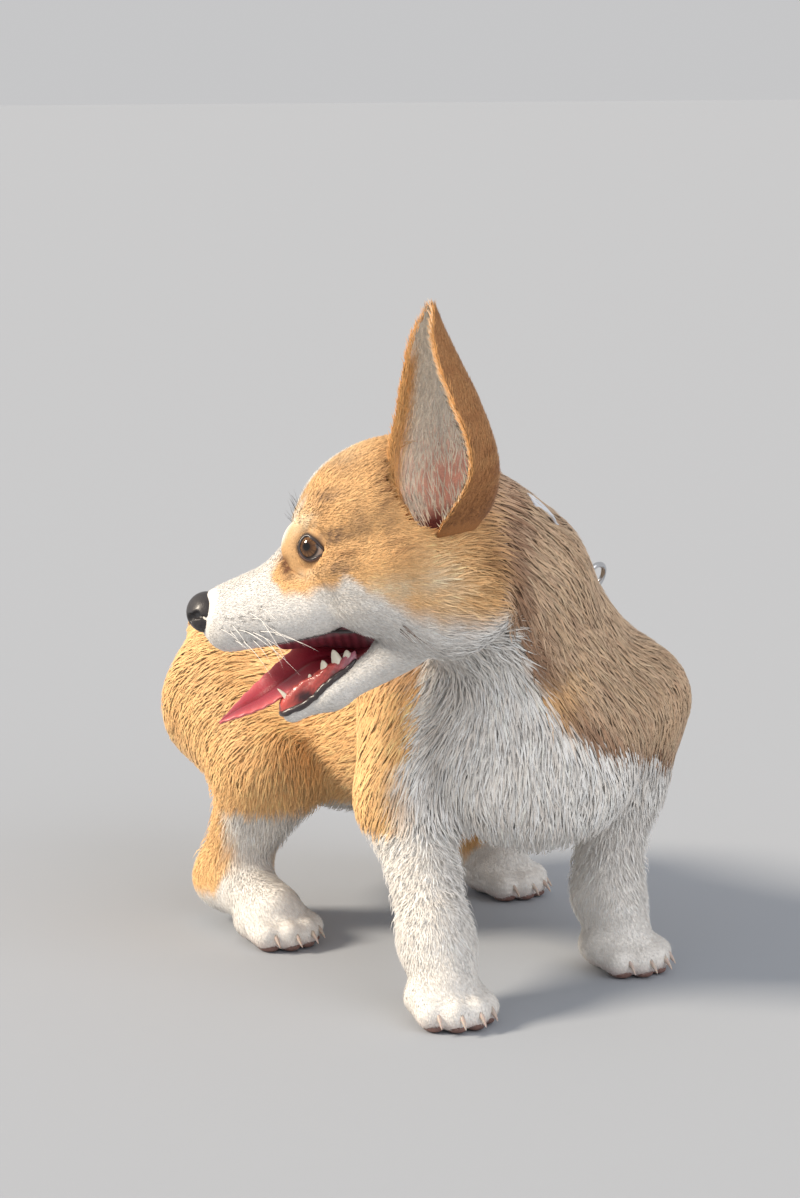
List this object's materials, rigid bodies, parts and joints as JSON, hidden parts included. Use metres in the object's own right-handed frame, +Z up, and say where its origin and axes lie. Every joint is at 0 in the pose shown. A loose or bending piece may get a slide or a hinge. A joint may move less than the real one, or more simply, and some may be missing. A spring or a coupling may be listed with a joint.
{
  "type": "pembroke welsh corgi puppy",
  "caption": "Still life-size model of a standing corgi puppy, its head turned to its right, mouth open, with a thin collar and ring.",
  "frame": {"origin": "on the floor under the middle of the whole model's box", "axes": "+Z up; the dog faces -Y, and its left side is towards +X"},
  "size_m": [0.267, 0.3518, 0.3387],
  "materials": {
    "coat": "soft thick fur, red-tan with white face, chest and legs",
    "eye": "wet dark brown eye",
    "nose_leather": "moist pebbled black leather",
    "tongue": "wet pink-red flesh",
    "mouth": "wet gums and lips, pink with black rims",
    "tooth": "smooth ivory-white enamel",
    "claw": "pale horn, worn at the tip",
    "collar_strap": "fine white woven strap",
    "collar_ring": "polished steel wire"
  },
  "bodies": {
    "root": {"torso": "coat", "neck": "coat", "head": "coat", "lower_jaw": "coat", "tail": "coat", "ear_left": "coat", "ear_right": "coat", "eye_left": "eye", "eye_right": "eye", "nose": "nose_leather", "tongue": "tongue", "foreleg_left_upper": "coat", "foreleg_left_lower": "coat", "forepaw_left": "coat", "foreleg_right_upper": "coat", "foreleg_right_lower": "coat", "forepaw_right": "coat", "hindleg_left_thigh": "coat", "hindleg_left_shank": "coat", "hindpaw_left": "coat", "hindleg_right_thigh": "coat", "hindleg_right_shank": "coat", "hindpaw_right": "coat", "collar": "collar_strap", "collar_ring": "collar_ring"}
  },
  "joints": []
}
